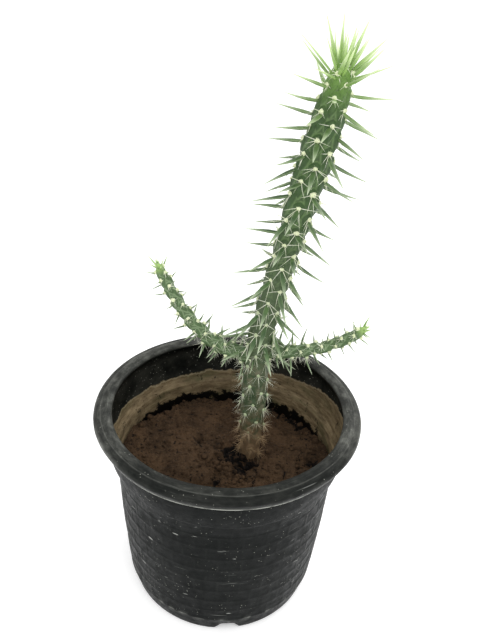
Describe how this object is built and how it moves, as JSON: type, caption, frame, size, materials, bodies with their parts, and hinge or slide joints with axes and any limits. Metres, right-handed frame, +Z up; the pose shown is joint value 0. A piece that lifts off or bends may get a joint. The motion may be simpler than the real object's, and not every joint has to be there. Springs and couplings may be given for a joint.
{
  "type": "potted cactus",
  "caption": "Young columnar cactus with two side arms, awl-shaped leaves and spines, standing in soil in a round black brick-patterned plastic nursery pot.",
  "frame": {"origin": "centre of the pot's flat underside", "axes": "+Z up along the pot's axis; +X the way the stem leans, along the arms"},
  "size_m": [0.2, 0.2, 0.4396],
  "materials": {
    "pot_plastic": "scuffed dusty charcoal plastic with a brick relief",
    "soil": "crumbly dark brown soil",
    "stem": "waxy green skin, corky grey-brown near the soil",
    "arm": "waxy young green skin",
    "leaf": "smooth fleshy leaf, paler at the tip",
    "spine": "thin dry straw-white spines",
    "wool": "short cream wool"
  },
  "bodies": {
    "root": {"pot": "pot_plastic", "soil": "soil", "main_stem": "stem", "left_arm": "arm", "right_arm": "arm", "leaf_01": "leaf", "leaf_02": "leaf", "leaf_03": "leaf", "leaf_04": "leaf", "leaf_05": "leaf", "leaf_06": "leaf", "leaf_07": "leaf", "leaf_08": "leaf", "leaf_09": "leaf", "leaf_10": "leaf", "leaf_11": "leaf", "leaf_12": "leaf", "leaf_13": "leaf", "leaf_14": "leaf", "leaf_15": "leaf", "leaf_16": "leaf", "leaf_17": "leaf", "leaf_18": "leaf", "leaf_19": "leaf", "leaf_20": "leaf", "leaf_21": "leaf", "leaf_22": "leaf", "leaf_23": "leaf", "leaf_24": "leaf", "leaf_25": "leaf", "leaf_26": "leaf", "leaf_27": "leaf", "leaf_28": "leaf", "leaf_29": "leaf", "leaf_30": "leaf", "leaf_31": "leaf", "leaf_32": "leaf", "leaf_33": "leaf", "leaf_34": "leaf", "leaf_35": "leaf", "leaf_36": "leaf", "leaf_37": "leaf", "leaf_38": "leaf", "leaf_39": "leaf", "leaf_40": "leaf", "leaf_41": "leaf", "leaf_42": "leaf", "leaf_43": "leaf", "leaf_44": "leaf", "leaf_45": "leaf", "leaf_46": "leaf", "leaf_47": "leaf", "leaf_48": "leaf", "leaf_49": "leaf", "leaf_50": "leaf"}
  },
  "joints": []
}
